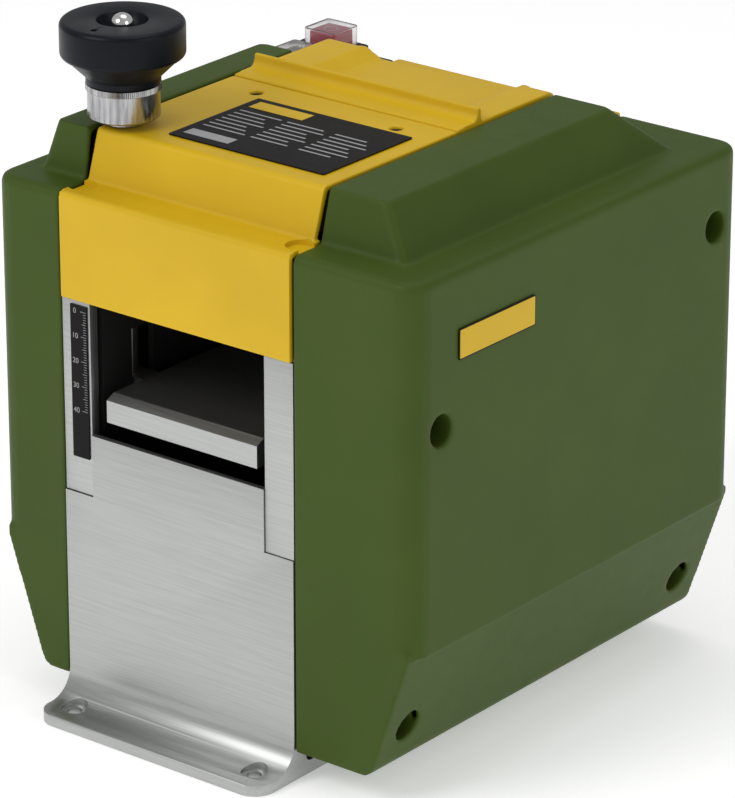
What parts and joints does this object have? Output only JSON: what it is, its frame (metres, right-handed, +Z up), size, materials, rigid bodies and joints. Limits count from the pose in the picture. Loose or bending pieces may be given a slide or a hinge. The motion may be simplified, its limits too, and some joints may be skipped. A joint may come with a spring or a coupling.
{
  "type": "thickness planer",
  "caption": "Compact bench-top thickness planer: aluminium base, rising table, yellow hood, green side covers, top handwheel with scale ring, push buttons.",
  "frame": {"origin": "centre of the base's flat underside", "axes": "+Z up, +Y the way the workpiece travels (the infeed side faces -Y), +X towards the belt-drive cover"},
  "size_m": [0.2283, 0.278, 0.3076],
  "materials": {
    "aluminium_body": "satin",
    "black_steel": "matt black paint",
    "steel": "brushed",
    "polished_steel": "polished",
    "green_plastic": "fine-grained moulded",
    "yellow_plastic": "fine-grained moulded",
    "black_plastic": "smooth satin",
    "red_plastic": "gloss",
    "grey_plastic": "gloss",
    "rubber": "matt",
    "label": "printed foil"
  },
  "bodies": {
    "chassis": {"base_frame": "aluminium_body", "post_front_left": "aluminium_body", "post_front_right": "aluminium_body", "post_rear_left": "aluminium_body", "post_rear_right": "aluminium_body", "side_plate_left": "black_steel", "side_plate_right": "black_steel", "head_plate": "black_steel", "front_top_cover": "yellow_plastic", "rear_hood": "yellow_plastic", "side_badge": "yellow_plastic", "right_cover": "green_plastic", "left_cover": "green_plastic", "cutter_bearing_left": "steel", "cutter_bearing_right": "steel", "motor_body": "black_steel", "drive_belt": "rubber", "infeed_spring": "steel", "outfeed_spring": "steel", "reducer_housing": "black_steel", "feed_chain": "steel", "lift_chain": "steel", "switch_housing": "black_plastic", "rating_plate": "label", "thickness_scale": "label", "top_screw_left": "steel", "top_screw_right": "steel", "cable_gland": "rubber", "cover_screw_left_1": "black_steel", "cover_screw_left_2": "black_steel", "cover_screw_left_3": "black_steel", "cover_screw_left_4": "black_steel", "cover_screw_right_1": "black_steel", "cover_screw_right_2": "black_steel", "cover_screw_right_3": "black_steel", "cover_screw_right_4": "black_steel"},
    "cutter": {"cutter_block": "steel", "knife_a": "polished_steel", "knife_b": "polished_steel", "cutter_pulley": "black_steel"},
    "motor_rotor": {"motor_rotor": "steel", "motor_pulley": "steel"},
    "reducer_output": {"reducer_sprocket": "steel"},
    "infeed_carrier": {"infeed_yoke": "steel"},
    "outfeed_carrier": {"outfeed_yoke": "steel"},
    "infeed_roller": {"infeed_roller": "rubber", "infeed_sprocket": "steel"},
    "outfeed_roller": {"outfeed_roller": "rubber", "outfeed_sprocket": "steel"},
    "table": {"table": "aluminium_body"},
    "lift_drive": {"lift_screw_front_left": "steel", "handwheel": "black_plastic", "dome_nut": "polished_steel"},
    "scale_ring": {"scale_ring": "polished_steel"},
    "lift_front_right": {"lift_screw_front_right": "steel"},
    "lift_rear_left": {"lift_screw_rear_left": "steel"},
    "lift_rear_right": {"lift_screw_rear_right": "steel"},
    "red_button": {"red_button": "red_plastic"},
    "green_button": {"green_button": "grey_plastic"}
  },
  "joints": [
    {"name": "cutter_spin", "type": "hinge", "parent": "chassis", "child": "cutter", "pos_m": [0, 0, 0.194], "axis": [1, 0, 0], "continuous": true},
    {"name": "motor_spin", "type": "hinge", "parent": "chassis", "child": "motor_rotor", "pos_m": [0, 0, 0.048], "axis": [1, 0, 0], "continuous": true},
    {"name": "reducer_spin", "type": "hinge", "parent": "chassis", "child": "reducer_output", "pos_m": [0, 0, 0.162], "axis": [1, 0, 0], "continuous": true},
    {"name": "infeed_float", "type": "slide", "parent": "chassis", "child": "infeed_carrier", "axis": [0, 0, 1], "range_m": [0, 0.002], "stiffness_N_per_m": 3000, "springref_m": -0.004, "deforming": ["infeed_spring"]},
    {"name": "outfeed_float", "type": "slide", "parent": "chassis", "child": "outfeed_carrier", "axis": [0, 0, 1], "range_m": [0, 0.002], "stiffness_N_per_m": 3000, "springref_m": -0.004, "deforming": ["outfeed_spring"]},
    {"name": "infeed_spin", "type": "hinge", "parent": "infeed_carrier", "child": "infeed_roller", "pos_m": [0, -0.043, 0.1816], "axis": [1, 0, 0], "continuous": true},
    {"name": "outfeed_spin", "type": "hinge", "parent": "outfeed_carrier", "child": "outfeed_roller", "pos_m": [0, 0.043, 0.1816], "axis": [1, 0, 0], "continuous": true},
    {"name": "handwheel_turn", "type": "hinge", "parent": "chassis", "child": "lift_drive", "pos_m": [-0.0555, -0.081, 0], "axis": [0, 0, 1], "range_deg": [-7380, 5220]},
    {"name": "table_lift", "type": "slide", "parent": "chassis", "child": "table", "axis": [0, 0, 1], "range_m": [-0.0146, 0.0206]},
    {"name": "scale_ring_turn", "type": "hinge", "parent": "lift_drive", "child": "scale_ring", "pos_m": [-0.0555, -0.081, 0], "axis": [0, 0, 1], "continuous": true},
    {"name": "screw_front_right_turn", "type": "hinge", "parent": "chassis", "child": "lift_front_right", "pos_m": [0.0555, -0.081, 0], "axis": [0, 0, 1], "range_deg": [-7381, 5221]},
    {"name": "screw_rear_left_turn", "type": "hinge", "parent": "chassis", "child": "lift_rear_left", "pos_m": [-0.0555, 0.081, 0], "axis": [0, 0, 1], "range_deg": [-7381, 5221]},
    {"name": "screw_rear_right_turn", "type": "hinge", "parent": "chassis", "child": "lift_rear_right", "pos_m": [0.0555, 0.081, 0], "axis": [0, 0, 1], "range_deg": [-7381, 5221]},
    {"name": "red_button_press", "type": "slide", "parent": "chassis", "child": "red_button", "axis": [0, 0, -1], "range_m": [0, 0.003], "stiffness_N_per_m": 400, "springref_m": -0.003},
    {"name": "green_button_press", "type": "slide", "parent": "chassis", "child": "green_button", "axis": [0, 0, -1], "range_m": [0, 0.003], "stiffness_N_per_m": 400, "springref_m": -0.003}
  ],
  "couplings": [
    {"joint": "motor_spin", "follows": "cutter_spin", "ratio": 2},
    {"joint": "reducer_spin", "follows": "cutter_spin", "ratio": -0.02381},
    {"joint": "infeed_spin", "follows": "cutter_spin", "ratio": -0.015306},
    {"joint": "outfeed_spin", "follows": "cutter_spin", "ratio": -0.015306},
    {"joint": "table_lift", "follows": "handwheel_turn", "m_per_rad": -0.00015915},
    {"joint": "screw_front_right_turn", "follows": "handwheel_turn", "ratio": 1},
    {"joint": "screw_rear_left_turn", "follows": "handwheel_turn", "ratio": 1},
    {"joint": "screw_rear_right_turn", "follows": "handwheel_turn", "ratio": 1}
  ]
}
